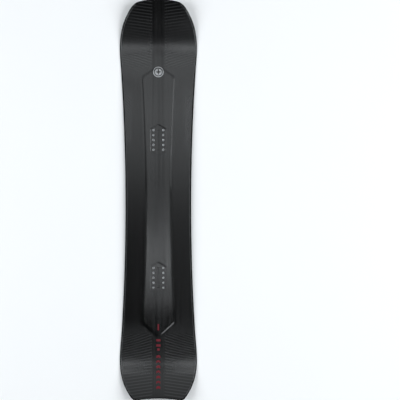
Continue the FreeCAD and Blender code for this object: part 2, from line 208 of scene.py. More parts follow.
def slant(x, y, x0, y0, x1, y1):
    """Distance outside the line from the end corner (x0, y0) to the side corner (x1, y1)."""
    run, rise = x1 - x0, y1 - y0
    length = math.hypot(run, rise)
    facing = math.copysign(1.0, y0)
    return ((x - x0) * abs(rise) + (y - y0) * run * facing) / length


def plateau_distance(x, y):
    """Distance outside the plateau's foot."""
    middle = (PLATEAU_CORNER_Y[0] + PLATEAU_CORNER_Y[1]) / 2
    reach = PLATEAU_CORNER_Y[0] - middle
    half = PLATEAU_WAIST_HALF + (PLATEAU_CORNER_HALF - PLATEAU_WAIST_HALF) * ((y - middle) / reach) ** 2
    x = np.abs(x)
    sides = [x - half, y - PLATEAU_END_Y[0], PLATEAU_END_Y[1] - y]
    for end_y, corner_y in zip(PLATEAU_END_Y, PLATEAU_CORNER_Y):
        sides.append(slant(x, y, PLATEAU_END_HALF, end_y, PLATEAU_CORNER_HALF, corner_y))
    return smooth_max(sides, PLATEAU_ROUND)


def pocket_distance(x, y):
    """Distance outside the nearer of the two pockets."""
    x = np.abs(x)
    nearest = None
    for pack_y in PACK_Y:
        v = np.abs(y - pack_y)
        rise, run = POCKET_APEX - POCKET_SHOULDER, POCKET_HALF_W
        tip = (x * rise + (v - POCKET_APEX) * run) / math.hypot(rise, run)
        here = smooth_max([x - POCKET_HALF_W, tip], POCKET_ROUND)
        nearest = here if nearest is None else np.minimum(nearest, here)
    return nearest


def relief(x, y, share=1.0):
    """Height of the plateau, or of a share of it, and of the pockets, above the plain skin."""
    raised = PLATEAU_H * share * ease(-plateau_distance(x, y) / PLATEAU_BEVEL)
    return raised - POCKET_DEPTH * ease(-pocket_distance(x, y) / POCKET_BEVEL)


def skin_z(x, y):
    """Height of the top skin."""
    return core_z(y) + UPPER_T + TOP_T + relief(x, y)


# ---------------------------------------------------------------- outline

def arc_through(a, b, c, count):
    """Evenly spaced points on the arc through three points."""
    (ax, ay), (bx, by), (cx, cy) = a, b, c
    aa, bb, cc = ax ** 2 + ay ** 2, bx ** 2 + by ** 2, cx ** 2 + cy ** 2
    d = 2 * (ax * (by - cy) + bx * (cy - ay) + cx * (ay - by))
    ux = (aa * (by - cy) + bb * (cy - ay) + cc * (ay - by)) / d
    uy = (aa * (cx - bx) + bb * (ax - cx) + cc * (bx - ax)) / d
    radius = math.hypot(ax - ux, ay - uy)
    start, middle, end = [math.atan2(p[1] - uy, p[0] - ux) for p in (a, b, c)]
    middle = start + (middle - start + math.pi) % (2 * math.pi) - math.pi
    end = middle + (end - middle + math.pi) % (2 * math.pi) - math.pi
    angles = np.linspace(start, end, count)
    return np.stack([ux + radius * np.cos(angles), uy + radius * np.sin(angles)], 1)


def clamped_spline(points, start, end):
    """A smooth curve through the points with given unit tangents at its ends."""
    p = np.array(points, float)
    n = len(p)
    h = np.linalg.norm(np.diff(p, axis=0), axis=1)
    a, b = np.eye(n), np.zeros((n, 2))
    b[0], b[-1] = start, end
    for i in range(1, n - 1):
        a[i, i - 1:i + 2] = h[i], 2 * (h[i - 1] + h[i]), h[i - 1]
        b[i] = 3 * (h[i] / h[i - 1] * (p[i] - p[i - 1]) + h[i - 1] / h[i] * (p[i + 1] - p[i]))
    t = np.linalg.solve(a, b)
    u = np.linspace(0, 1, SPLINE_SAMPLES, endpoint=False)[:, None]
    spans = [
        (2 * u ** 3 - 3 * u ** 2 + 1) * p[i] + (u ** 3 - 2 * u ** 2 + u) * h[i] * t[i]
        + (3 * u ** 2 - 2 * u ** 3) * p[i + 1] + (u ** 3 - u ** 2) * h[i] * t[i + 1]
        for i in range(n - 1)
    ]
    return np.vstack(spans + [p[-1:]])


def resample(points, step):
    """Points at an even spacing along a path, without its last point."""
    s = np.r_[0, np.cumsum(np.linalg.norm(np.diff(points, axis=0), axis=1))]
    count = max(2, int(round(s[-1] / step)))
    at = np.linspace(0, s[-1], count, endpoint=False)
    return np.stack([np.interp(at, s, points[:, k]) for k in (0, 1)], 1)


def end_point(x, tip_y, radius):
    """A point on the arc that ends the nose or the tail."""
    return (x, tip_y - kick(x, radius))


def board_outline():
    """The outline clockwise from the nose's centre, as points and outward normals."""
    nose_tip, nose_mid, nose_corner = [
        end_point(NOSE_END_HALF * share, NOSE_TIP_Y, NOSE_END_R) for share in (0, 0.5, 1)]
    tail_tip, tail_mid, tail_corner = [
        end_point(TAIL_END_HALF * share, TAIL_TIP_Y, TAIL_END_R) for share in (0, 0.5, 1)]
    nose_angle = math.asin(NOSE_END_HALF / NOSE_END_R)
    tail_angle = math.asin(TAIL_END_HALF / TAIL_END_R)
    leave_nose = (math.cos(nose_angle), -math.sin(nose_angle))
    reach_tail = (-math.cos(tail_angle), math.sin(tail_angle))
    sidecut = arc_through(*SIDECUT, SIDECUT_SAMPLES)
    leave, arrive = sidecut[1] - sidecut[0], sidecut[-1] - sidecut[-2]
    back = np.array([0.0, -1.0])
    parts = [
        arc_through(nose_tip, nose_mid, nose_corner, END_SAMPLES),
        clamped_spline([nose_corner] + NOSE_SIDE + [NOSE_WIDEST], leave_nose, back),
        clamped_spline([NOSE_WIDEST, SIDECUT[0]], back, leave / np.linalg.norm(leave)),
        sidecut,
        clamped_spline([SIDECUT[2], TAIL_WIDEST], arrive / np.linalg.norm(arrive), back),
        clamped_spline([TAIL_WIDEST] + TAIL_SIDE + [tail_corner], back, reach_tail),
        arc_through(tail_corner, tail_mid, tail_tip, END_SAMPLES),
    ]
    path = np.vstack([part[:-1] for part in parts] + [[tail_tip]])
    right = resample(path, OUTLINE_STEP)
    left = resample(path[::-1], OUTLINE_STEP) * (-1, 1)
    points = np.vstack([right, left])
    along = np.roll(points, -1, 0) - np.roll(points, 1, 0)
    along /= np.linalg.norm(along, axis=1)[:, None]
    return points, np.stack([-along[:, 1], along[:, 0]], 1)


EDGE_POINTS, EDGE_NORMALS = board_outline()
EDGE_Y = EDGE_POINTS[:, 1]
COUNT = len(EDGE_POINTS)


def inset(distance):
    """The outline moved in, by one distance or one for each point."""
    return EDGE_POINTS - EDGE_NORMALS * np.reshape(distance, (-1, 1))


def bevel_inset(y, z):
    """How far in the bevelled flank lies at a height."""
    foot = base_z(y) + EDGE_T - FOOT_DROP
    head = core_z(y) + UPPER_T + TOP_T + HEAD_RISE
    return FOOT_IN + (HEAD_IN - FOOT_IN) * (z - foot) / (head - foot)


def outline_distance(x, y):
    """Distance in from the outline of each plan point."""
    a, b = EDGE_POINTS, np.roll(EDGE_POINTS, -1, 0)
    ab = b - a
    scale = (ab ** 2).sum(1)
    found = []
    for chunk in np.array_split(np.stack([x, y], 1), max(1, len(x) // CHUNK)):
        ap = chunk[:, None] - a[None]
        u = np.clip((ap * ab).sum(2) / scale, 0, 1)
        found.append(np.sqrt(((ap - u[..., None] * ab) ** 2).sum(2)).min(1))
    return np.concatenate(found)


# ---------------------------------------------------------------- mesh building

def add_piece(name, points, faces, normals=None, smooth=True):
    """A mesh object from points in millimetres, riding on the board."""
    points = np.array(points, float) + (0, SHIFT_Y, 0)
    mesh = bpy.data.meshes.new(name)
    mesh.from_pydata((points * MM).tolist(), [], [list(map(int, f)) for f in faces])
    mesh.update()
    mesh.polygons.foreach_set("use_smooth", [smooth] * len(mesh.polygons))
    if normals is not None:
        mesh.normals_split_custom_set_from_vertices(normals.tolist())
    piece = bpy.data.objects.new(name, mesh)
    bpy.context.collection.objects.link(piece)
    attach(piece, "root")
    return piece


def span(reach, step):
    """Evenly spaced numbers from minus the reach to the reach."""
    return np.arange(-reach, reach + 0.1, step)


def grid(xs, ys):
    """Plan points in rows and columns."""
    x, y = np.meshgrid(xs, ys)
    return np.stack([x.ravel(), y.ravel()], 1)


def triangulate(loops, inner, holes=()):
    """Triangles over a plan region.

    The first loop bounds it, the other loops are kept as edges, and the holes are left open.
    """
    points, edges = [], []
    for loop in list(loops) + list(holes):
        first = sum(map(len, points))
        n = len(loop)
        points.append(loop)
        edges += [(first + i, first + (i + 1) % n) for i in range(n)]
    points.append(inner)
    flat = [Vector(p) for p in np.vstack(points)]
    out, _, faces, *_ = geometry.delaunay_2d_cdt(flat, edges, [], 1, 1e-5)
    out = np.array([tuple(v) for v in out])
    faces = np.array([f for f in faces if len(f) == 3])
    centre = out[faces].mean(1)
    keep = inside(centre, loops[0])
    for hole in holes:
        keep &= ~inside(centre, hole)
    return out, faces[keep]


def inside(points, loop):
    """Which plan points lie inside a closed loop."""
    x, y = points[:, 0], points[:, 1]
    result = np.zeros(len(points), bool)
    lo, hi = loop.min(0), loop.max(0)
    near = np.flatnonzero((x >= lo[0]) & (x <= hi[0]) & (y >= lo[1]) & (y <= hi[1]))
    px, py = x[near], y[near]
    odd = np.zeros(len(near), bool)
    for (x0, y0), (x1, y1) in zip(loop, np.roll(loop, -1, 0)):
        if y0 == y1:
            continue
        level = (py >= min(y0, y1)) & (py < max(y0, y1))
        odd ^= level & (px < x0 + (py - y0) * (x1 - x0) / (y1 - y0))
    result[near] = odd
    return result


def upward_normals(height, x, y, step=0.25):
    """Unit normals of a height field."""
    dx = (height(x + step, y) - height(x - step, y)) / (2 * step)
    dy = (height(x, y + step) - height(x, y - step)) / (2 * step)
    n = np.stack([-dx, -dy, np.ones_like(dx)], 1)
    return n / np.linalg.norm(n, axis=1)[:, None]


def ring_loop(centre, radius, count=TURNED_SIDES):
    a = np.linspace(0, 2 * np.pi, count, endpoint=False)
    return np.stack([centre[0] + radius * np.cos(a), centre[1] + radius * np.sin(a)], 1)


def swept(profile_rows, first, last, closed):
    """Quads along the outline between two of its indices. Each row is an inset and a height at a station."""
    index = np.arange(first, last + 1) % COUNT
    rows = []
    for depth, height in profile_rows:
        plan = inset(depth)[index]
        rows.append(np.column_stack([plan, height(plan[:, 1])]))
    n, k = len(index), len(rows)
    points = np.stack(rows, 1).reshape(-1, 3)
    faces = []
    spans = k if closed else k - 1
    for i in range(n - 1):
        for j in range(spans):
            a, b = i * k + j, i * k + (j + 1) % k
            faces.append((a, b, b + k, a + k))
    if closed:
        faces.append(list(range(k))[::-1])
        faces.append([(n - 1) * k + j for j in range(k)])
    return points, faces


def above_base(rise):
    """Height over the running face, as a function of the station."""
    return lambda y: base_z(y) + rise


def through_core(share):
    """Height at a share of the core's thickness, as a function of the station."""
    return lambda y: (base_z(y) + EDGE_T) * (1 - share) + core_z(y) * share


def insert_sites():
    rows = [p + ROW_PITCH * (i - (ROWS - 1) / 2) for p in PACK_Y for i in range(ROWS)]
    return [(x, y) for y in rows for x in (-COLUMN_X, COLUMN_X)]


# ---------------------------------------------------------------- materials

def link(tree, source, target):
    tree.links.new(source, target)


def new_node(tree, kind, values=None, **settings):
    """A shader node with its settings, and with its inputs set or linked."""
    made = tree.nodes.new(kind)
    for key, value in settings.items():
        setattr(made, key, value)
    for key, value in (values or {}).items():
        if isinstance(value, bpy.types.NodeSocket):
            link(tree, value, made.inputs[key])
        else:
            made.inputs[key].default_value = value
    return made


def calc(tree, operation, a, b=0.0, c=0.0):
    """One number from a math node."""
    return new_node(tree, "ShaderNodeMath", {0: a, 1: b, 2: c}, operation=operation).outputs[0]


def scaled(tree, value, factor, offset=0.0):
    return calc(tree, "MULTIPLY_ADD", value, factor, offset)


def product(tree, first, *others):
    for other in others:
        first = calc(tree, "MULTIPLY", first, other)
    return first


def ramp(tree, value, low, high, out_low=0.0, out_high=1.0):
    """A number eased from one range to another."""
    values = {"Value": value, "From Min": low, "From Max": high, "To Min": out_low, "To Max": out_high}
    return new_node(tree, "ShaderNodeMapRange", values, interpolation_type="SMOOTHSTEP").outputs[0]


def zone(tree, where, limits):
    """Nought before the first limit and one past the second, both in millimetres."""
    return ramp(tree, where, limits[0] * MM, limits[1] * MM)


def stripes(tree, where, pitch, low, high):
    """Soft stripes centred on whole pitches. low and high set how wide and how soft they are."""
    phase = calc(tree, "FRACT", calc(tree, "DIVIDE", where, pitch * MM))
    return ramp(tree, calc(tree, "ABSOLUTE", calc(tree, "SUBTRACT", phase, 0.5)), low, high)


def blend_colour(tree, factor, a, b):
    """A colour between two others. Sockets 0, 6 and 7 of a colour mix are its factor and its two colours."""
    mixer = tree.nodes.new("ShaderNodeMix")
    mixer.data_type = "RGBA"
    for socket, value in ((mixer.inputs[0], factor), (mixer.inputs[6], a), (mixer.inputs[7], b)):
        if isinstance(value, bpy.types.NodeSocket):
            link(tree, value, socket)
        else:
            socket.default_value = value
    return mixer.outputs[2]


def noise(tree, vector, scale, detail=3.0, rough=0.5):
    values = {"Vector": vector, "Scale": scale, "Detail": detail, "Roughness": rough}
    return new_node(tree, "ShaderNodeTexNoise", values).outputs["Fac"]


def stretched(tree, x, y, z):
    """Object coordinates scaled along each axis."""
    where = tree.nodes.new("ShaderNodeTexCoord").outputs["Object"]
    return new_node(tree, "ShaderNodeMapping", {"Vector": where, "Scale": (x, y, z)}).outputs[0]


def bump(tree, height, distance, strength=1.0, under=None):
    values = {"Height": height, "Distance": distance, "Strength": strength}
    if under:
        values["Normal"] = under
    return new_node(tree, "ShaderNodeBump", values).outputs[0]


def surface(name, **fixed):
    """A material whose uniform values sit on the shader's own sockets."""
    made = bpy.data.materials.new(name)
    made.use_nodes = True
    shader = made.node_tree.nodes["Principled BSDF"]
    for key, value in fixed.items():
        shader.inputs[key.replace("_", " ")].default_value = value
    return made, made.node_tree, shader


def grey(level, tint=1.04):
    """A near-neutral colour with a slight cool tint."""
    return (level, level * (1 + (tint - 1) / 2), level * tint, 1.0)


def rib_pattern(tree, x, y, band, wing):
    """Ribs on the wings near the tips, which lean less towards the ends."""
    lean = ramp(tree, y, RIB_LEAN_Y[0] * MM, RIB_LEAN_Y[1] * MM, *RIB_LEAN)
    lines = stripes(tree, calc(tree, "SUBTRACT", y, product(tree, x, lean)), RIB_PITCH, *RIB_WIDTH)
    return product(tree, lines, scaled(tree, band, -0.8, 0.8), wing, zone(tree, y, RIB_Y))


def hatch_pattern(tree, x, y, along):
    """Slanted lines on the outer strips of the front wings."""
    lines = stripes(tree, calc(tree, "SUBTRACT", y, x), HATCH_PITCH, *HATCH_WIDTH)
    away = calc(tree, "ABSOLUTE", calc(tree, "SUBTRACT", along, HATCH_CENTRE_Y * MM))
    return product(tree, lines, zone(tree, x, HATCH_X), zone(tree, away, HATCH_REACH))


def topsheet_gloss(tree, x, along, band, fibre):
    """Weight of the clear coat: low, lower on the band, growing outwards on the nose and the tail's bend."""
    tail = zone(tree, along, TAIL_GLOSS_Y)
    bend = product(tree, tail, zone(tree, along, TAIL_GLOSS_END_Y))
    tips = scaled(tree, bend, TAIL_COAT_GAIN, zone(tree, along, NOSE_GLOSS_Y))
    thick = scaled(tree, band, -BAND_COAT_LOSS, scaled(tree, x, TIP_COAT_PER_M))
    between_fibres = product(tree, band, scaled(tree, fibre, -0.9, 1.0))
    thin = scaled(tree, between_fibres, -PLAIN_COAT, PLAIN_COAT)
    thin = product(tree, thin, scaled(tree, tail, -0.8, 1.0))
    return scaled(tree, tips, thick, thin)


def topsheet_material():
    """Dark lacquer over carbon: a fibre band down the middle, ribs near the tips and a hatch on the front."""
    made, tree, shader = surface("topsheet_lacquer", Coat_Roughness=0.2, IOR=1.5)
    where = tree.nodes.new("ShaderNodeTexCoord").outputs["Object"]
    across, along, _ = new_node(tree, "ShaderNodeSeparateXYZ", {0: where}).outputs
    x = calc(tree, "ABSOLUTE", across)
    y = calc(tree, "ABSOLUTE", along)
    wing = new_node(tree, "ShaderNodeAttribute", attribute_name="wing").outputs["Fac"]
    band = zone(tree, x, BAND_X)
    fine = noise(tree, stretched(tree, 900, 9, 1), 1.0, 2.0, 0.6)
    coarse = noise(tree, stretched(tree, 130, 1.2, 1), 1.0, 2.0, 0.6)
    fibre = calc(tree, "ADD", product(tree, fine, 0.35), product(tree, coarse, 0.65))
    fibre = ramp(tree, fibre, 0.35, 0.65)
    grain = noise(tree, stretched(tree, 700, 700, 700), 1.0, 2.0)
    ribs = rib_pattern(tree, x, y, band, wing)
    hatch = hatch_pattern(tree, x, y, along)
    wing_colour = blend_colour(tree, grain, *map(grey, WING_GREY))
    band_colour = blend_colour(tree, fibre, *map(grey, BAND_GREY))
    colour = blend_colour(tree, band, wing_colour, band_colour)
    colour = blend_colour(tree, ribs, colour, grey(RIB_GREY))
    link(tree, blend_colour(tree, hatch, colour, grey(HATCH_GREY)), shader.inputs["Base Color"])
    rough = scaled(tree, wing, 0.05, scaled(tree, grain, 0.04, 0.12))
    rough = scaled(tree, zone(tree, along, TAIL_SATIN_Y), 0.1, rough)
    link(tree, scaled(tree, fibre, 0.04, rough), shader.inputs["Roughness"])
    link(tree, topsheet_gloss(tree, x, along, band, fibre), shader.inputs["Coat Weight"])
    lines = calc(tree, "ADD", ribs, product(tree, hatch, 0.4))
    middle_fibre = product(tree, fibre, scaled(tree, wing, -0.8, 1.0))
    relief_normal = bump(tree, middle_fibre, 0.00003, 0.6, bump(tree, lines, 0.00012, 0.4))
    link(tree, relief_normal, shader.inputs["Normal"])
    return made


def base_material():
    """Sintered polyethylene, stone ground along the board."""
    made, tree, shader = surface("base_polyethylene", IOR=1.5)
    grooves = noise(tree, stretched(tree, 1600, 14, 1), 1.0, 2.0, 0.55)
    cloud = noise(tree, stretched(tree, 14, 5, 1), 1.0, 3.0)
    link(tree, blend_colour(tree, cloud, grey(0.0035), grey(0.0065)), shader.inputs["Base Color"])
    link(tree, scaled(tree, cloud, 0.1, 0.4), shader.inputs["Roughness"])
    link(tree, bump(tree, grooves, 0.00005, 0.5), shader.inputs["Normal"])
    return made


def metal_material(name, level, rough, dark=0.75, scratch=(60, 60, 900)):
    """Brushed metal. dark is the share of its level that the scratches keep."""
    made, tree, shader = surface(name, Metallic=1.0)
    lines = noise(tree, stretched(tree, *scratch), 1.0, 3.0, 0.6)
    link(tree, blend_colour(tree, lines, grey(level * dark), grey(level)), shader.inputs["Base Color"])
    link(tree, scaled(tree, lines, 0.15, rough), shader.inputs["Roughness"])
    link(tree, bump(tree, lines, 0.00003, 0.4), shader.inputs["Normal"])
    return made


def plastic_material(name, low, high, rough, scale=400.0, relief_m=0.00004, shine=0.5):
    """A plastic with a fine grain. low and high are the two colours that its grain runs between."""
    made, tree, shader = surface(name, IOR=1.48, Specular_IOR_Level=shine)
    grain = noise(tree, stretched(tree, scale, scale, scale), 1.0, 3.0)
    link(tree, blend_colour(tree, grain, low, high), shader.inputs["Base Color"])
    link(tree, scaled(tree, grain, 0.12, rough), shader.inputs["Roughness"])
    link(tree, bump(tree, grain, relief_m, 0.4), shader.inputs["Normal"])
    return made


def wood_material(name, pale, dark):
    """Straight-grained core wood with its rings along the strip."""
    made, tree, shader = surface(name, IOR=1.45)
    rings = noise(tree, stretched(tree, 110, 2.2, 60), 1.0, 4.0, 0.55)
    pores = noise(tree, stretched(tree, 900, 30, 900), 1.0, 2.0)
    rings = ramp(tree, calc(tree, "FRACT", product(tree, rings, 5.0)), 0.0, 1.0)
    colour = blend_colour(tree, rings, pale, dark)
    link(tree, blend_colour(tree, product(tree, pores, 0.35), colour, dark), shader.inputs["Base Color"])
    link(tree, scaled(tree, pores, 0.15, 0.5), shader.inputs["Roughness"])
    link(tree, bump(tree, pores, 0.0001, 0.4), shader.inputs["Normal"])
    return made


def weave_material(name, low, high, pitch, rough=0.4):
    """A woven cloth set in resin."""
    made, tree, shader = surface(name, IOR=1.55)
    where = new_node(tree, "ShaderNodeSeparateXYZ", {0: stretched(tree, 1 / pitch, 1 / pitch, 1)})
    warp = calc(tree, "SINE", product(tree, where.outputs[0], math.tau))
    weft = calc(tree, "SINE", product(tree, where.outputs[1], math.tau))
    cross = ramp(tree, product(tree, warp, weft), -1.0, 1.0)
    link(tree, blend_colour(tree, cross, low, high), shader.inputs["Base Color"])
    link(tree, scaled(tree, cross, 0.15, rough), shader.inputs["Roughness"])
    link(tree, bump(tree, cross, 0.0001, 0.5), shader.inputs["Normal"])
    return made


MATERIALS = {
    "topsheet": topsheet_material(),
    "base": base_material(),
    "base_inlay": plastic_material("inlay_red", (0.32, 0.006, 0.02, 1), (0.42, 0.012, 0.03, 1), 0.38, 300.0),
    "emblem": metal_material("emblem_aluminium", 0.6, 0.28, 0.45, (260, 25, 260)),
    "edge_steel": metal_material("edge_steel", 0.10, 0.32, 0.6),
    "sidewall": plastic_material("sidewall_abs", grey(0.0015), grey(0.003), 0.45, shine=0.1),
    "tip_fill": plastic_material("tip_fill_abs", grey(0.0015), grey(0.003), 0.45, shine=0.1),
    "glass_laminate": weave_material("glass_laminate", grey(0.01), grey(0.03), 0.0016),
    "carbon": weave_material("carbon_band", grey(0.006), grey(0.03), 0.0011, 0.3),
    "mat": weave_material("glass_mat", (0.42, 0.44, 0.42, 1), (0.6, 0.62, 0.58, 1), 0.0022),
    "rubber": plastic_material("edge_foil_rubber", grey(0.008), grey(0.016), 0.7),
    "insert_steel": metal_material("insert_steel", 0.92, 0.34, 0.85, (250, 250, 250)),
    "seal": plastic_material("seal_plastic", grey(0.45, 0.98), grey(0.55, 0.98), 0.5),
    "core_wood": wood_material("core_poplar", (0.62, 0.43, 0.24, 1), (0.42, 0.26, 0.12, 1)),
    "stringer_wood": wood_material("stringer_beech", (0.42, 0.24, 0.12, 1), (0.24, 0.12, 0.05, 1)),
    "ink_red": plastic_material(
        "ink_red", (0.1, 0.004, 0.01, 1), (0.15, 0.006, 0.015, 1), 0.45, 500.0, shine=0.3),
    "ink_dark": plastic_material("ink_dark", grey(0.003), grey(0.006), 0.5, 500.0),
}


def finish(piece, slot, *nodes, material=None):
    """The piece's material, found by its slot unless another is named, and the CAD nodes that it stands for,
    which are hidden.
    """
    piece.data.materials.append(MATERIALS[material or slot])
    if nodes:
        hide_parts(*nodes)


# ---------------------------------------------------------------- the pieces

def plan_grid():
    """Plan points for the top: close rows where the relief turns, wider elsewhere."""
    rows = set(np.arange(-GRID_HALF_L, GRID_HALF_L, GRID_ROW))
    for low, high in FINE_Y:
        rows |= set(np.arange(low, high, FINE_ROW))
    plain = grid(span(GRID_HALF_W, GRID_STEP), sorted(rows))
    covered = np.zeros(len(plain), bool)
    patches = []
    for pack_y in PACK_Y:
        patches.append(grid(span(PATCH_HALF_W, PATCH_STEP), pack_y + span(PATCH_HALF_L, PATCH_ROW)))
        beside = np.abs(plain - (0, pack_y)) < (PATCH_HALF_W + 1, PATCH_HALF_L + 1)
        covered |= beside.all(1)
    return np.vstack([plain[~covered]] + patches)


def shading_normals(x, y):
    """The top skin's normals, turned by the shading values above."""
    rear = SOFT_SHARE * ease((SOFT_Y[1] - y) / SOFT_FADE) * ease((y - SOFT_Y[0]) / SOFT_FADE)
    share = 1 - rear - FRONT_SOFT_SHARE * ease((y - FRONT_SOFT_Y) / FRONT_SOFT_FADE)
    lead = np.where(y > 0, NOSE_SHINE_LEAD, TAIL_SHINE_LEAD)

    def shading(x, y):
        return sum(core_z(y + lead + d) for d in KICK_SPREAD) / len(KICK_SPREAD) + relief(x, y, share)

    normals = upward_normals(shading, x, y)
    beside = ease((plateau_distance(x, y) + WING_START) / WING_FADE)
    outside = beside * ease((WING_END_Y - np.abs(y)) / SOFT_FADE)
    normals[:, 0] += np.sign(x) * outside * math.tan(math.radians(WING_TILT))
    return normals


def make_topsheet():
    """The top skin, with a rolled outer edge, the plateau, the pockets and a hole for each insert."""
    skin = core_z(EDGE_Y) + UPPER_T + TOP_T
    rim = bevel_inset(EDGE_Y, skin)
    steps = [(bevel_inset(EDGE_Y, skin - TOP_T), -TOP_T, HEM_LEAN)]
    steps += [(rim + depth, drop, lean) for depth, drop, lean in RIM_STEPS]
    loops = [inset(depth) for depth, _, _ in steps]
    sites = insert_sites()
    holes = [ring_loop(site, LIP_R) for site in sites]
    lips = [ring_loop(site, LIP_R + LIP_W) for site in sites]
    inner = plan_grid()
    depth = outline_distance(inner[:, 0], inner[:, 1])
    inner = inner[inside(inner, loops[-1]) & (depth > RIM_CLEAR)]
    for site in sites:
        inner = inner[np.linalg.norm(inner - site, axis=1) > BARREL_R + LIP_CLEAR]
    plan, faces = triangulate(loops + lips, inner, holes)
    x, y = plan[:, 0], plan[:, 1]
    z = skin_z(x, y)
    normals = shading_normals(x, y)
    edge = outline_distance(x, y)
    at_rim = np.flatnonzero(edge < RIM_REACH)
    nearest = np.array([np.argmin(((EDGE_POINTS - p) ** 2).sum(1)) for p in plan[at_rim]])
    for depth, drop, lean in steps:
        here = np.abs(edge[at_rim] - depth[nearest]) < RIM_MATCH
        chosen = at_rim[here]
        z[chosen] += drop
        normals[chosen, :2] += EDGE_NORMALS[nearest[here]] * lean
    for site_x, site_y in sites:
        z[np.abs(np.hypot(x - site_x, y - site_y) - LIP_R) < LIP_MATCH] -= LIP_DROP
    normals /= np.linalg.norm(normals, axis=1)[:, None]
    piece = add_piece("topsheet_skin", np.column_stack([x, y, z]), faces, normals)
    wing = piece.data.attributes.new("wing", "FLOAT", "POINT")
    wing.data.foreach_set("value", ease(plateau_distance(x, y) / WING_RISE).tolist())
    finish(piece, "topsheet", "topsheet")


def closed_sheet(name, plan, faces, low, high):
    """A closed piece from a plan triangulation, its underside and its side walls."""
    x, y = plan[:, 0], plan[:, 1]
    n = len(plan)
    top = np.column_stack([x, y, high(x, y)])
    bottom = np.column_stack([x, y, low(x, y)])
    edges = {}
    for f in faces:
        for a, b in zip(f, np.roll(f, -1)):
            edges[(a, b)] = edges.get((a, b), 0) + 1
    walls = [(a, a + n, b + n, b) for a, b in edges if (b, a) not in edges]
    all_faces = [tuple(f) for f in faces] + [tuple(f[::-1] + n) for f in faces] + walls
    piece = add_piece(name, np.vstack([top, bottom]), all_faces)
    piece.data.polygons.foreach_set("use_smooth", [True] * (2 * len(faces)) + [False] * len(walls))
    piece.data.set_sharp_from_angle(angle=math.radians(SHEET_CREASE))
    return piece


def star_loop(centre_y, radius):
    """A pointed star on the board's middle line."""
    points = []
    for i in range(2 * STAR_POINTS):
        reach = radius * (STAR_WAIST if i % 2 else 1.0)
        turn = math.pi * i / STAR_POINTS
        points.append((reach * math.sin(turn), centre_y + reach * math.cos(turn)))
    return np.array(points)


def make_base():
    """The running base and the star let into it."""
    def low(x, y):
        return base_z(y)

    def high(x, y):
        return base_z(y) + BASE_T

    loop = inset(EDGE_W)
    star = star_loop(INLAY_Y, INLAY_R)
    inner = grid(span(GRID_HALF_W, BASE_STEP), np.arange(-GRID_HALF_L, GRID_HALF_L, BASE_ROW))
    clear = outline_distance(inner[:, 0], inner[:, 1]) > EDGE_W + BASE_CLEAR
    inner = inner[inside(inner, loop) & clear & ~inside(inner, star)]
    plan, faces = triangulate([loop], inner, [star])
    finish(closed_sheet("base_skin", plan, faces, low, high), "base", "base_sheet")
    across = span(INLAY_R + 1, INLAY_STEP)
    inner = grid(across, INLAY_Y + across)
    plan, faces = triangulate([star], inner[inside(inner, star)])
    finish(closed_sheet("base_star", plan, faces, low, high), "base_inlay", "base_emblem_inlay")


def outline_index(point):
    """The outline's nearest point, by its number."""
    return int(np.argmin(np.abs(EDGE_POINTS - point).sum(1)))


def sweep_runs(profile, joints, names, suffix, crease):
    """A piece for each stretch between the joints: the right side, the tail, the left side and the nose."""
    nose, tail = [outline_index(joint) for joint in joints]
    runs = [(nose, tail), (tail, COUNT - tail), (COUNT - tail, COUNT - nose), (COUNT - nose, COUNT + nose)]
    for name, (first, last) in zip(names, runs):
        points, faces = swept(profile, first, last, True)
        piece = add_piece(name + suffix, points, faces)
        piece.data.set_sharp_from_angle(angle=math.radians(crease))
        yield name, piece


def above_core(y):
    """Height of the upper laminate's upper face away from the plateau."""
    return core_z(y) + UPPER_T


def make_edges():
    """Steel edges, flanks and the laminate's rim, swept round the outline."""
    steel = [
        (EDGE_W, above_base(0.0)), (EDGE_ROUND, above_base(0.0)),
        (0.0, above_base(EDGE_ROUND)), (0.0, above_base(EDGE_T - EDGE_BREAK)),
        (EDGE_BREAK, above_base(EDGE_T)), (EDGE_W, above_base(EDGE_T)),
    ]
    names = ("steel_edge_right", "tail_edge", "steel_edge_left", "nose_edge")
    for name, piece in sweep_runs(steel, (NOSE_WIDEST, TAIL_WIDEST), names, "_ground", METAL_CREASE):
        finish(piece, "edge_steel", name)
    flank = [(FLANK_DEPTH, above_base(EDGE_T)), (FOOT_IN + FLANK_LIP, above_base(EDGE_T))]
    for share in FLANK_SHARES:
        height = through_core(share)
        crown = FLANK_CROWN * math.sin(math.pi * share)
        flank.append((bevel_inset(EDGE_Y, height(EDGE_Y)) - crown, height))
    core_rim = bevel_inset(EDGE_Y, core_z(EDGE_Y))
    flank.append((core_rim + RIM_TUCK, core_z))
    names = ("sidewall_right", "tail_spacer", "sidewall_left", "nose_spacer")
    for name, piece in sweep_runs(flank, SPACER_JOINTS, names, "_flank", FLANK_CREASE):
        if name.startswith("sidewall"):
            finish(piece, "sidewall", name)
        else:
            finish(piece, "tip_fill")
    upper_rim = bevel_inset(EDGE_Y, above_core(EDGE_Y))
    rim = [
        (core_rim + RIM_TUCK, core_z), (core_rim, core_z),
        (upper_rim, above_core), (upper_rim + RIM_TUCK, above_core),
    ]
    points, faces = swept(rim, 0, COUNT, False)
    finish(add_piece("laminate_rim", points, faces), "glass_laminate", material="sidewall")


def lathe(profile, centre):
    """Points and quads of a turned shape."""
    n = len(profile)
    points, faces = [], []
    for i in range(TURNED_SIDES):
        a = math.tau * i / TURNED_SIDES
        points += [(centre[0] + r * math.cos(a), centre[1] + r * math.sin(a), z) for r, z in profile]
        j = (i + 1) % TURNED_SIDES
        faces += [(i * n + k, j * n + k, j * n + k + 1, i * n + k + 1) for k in range(n - 1)]
    return points, faces


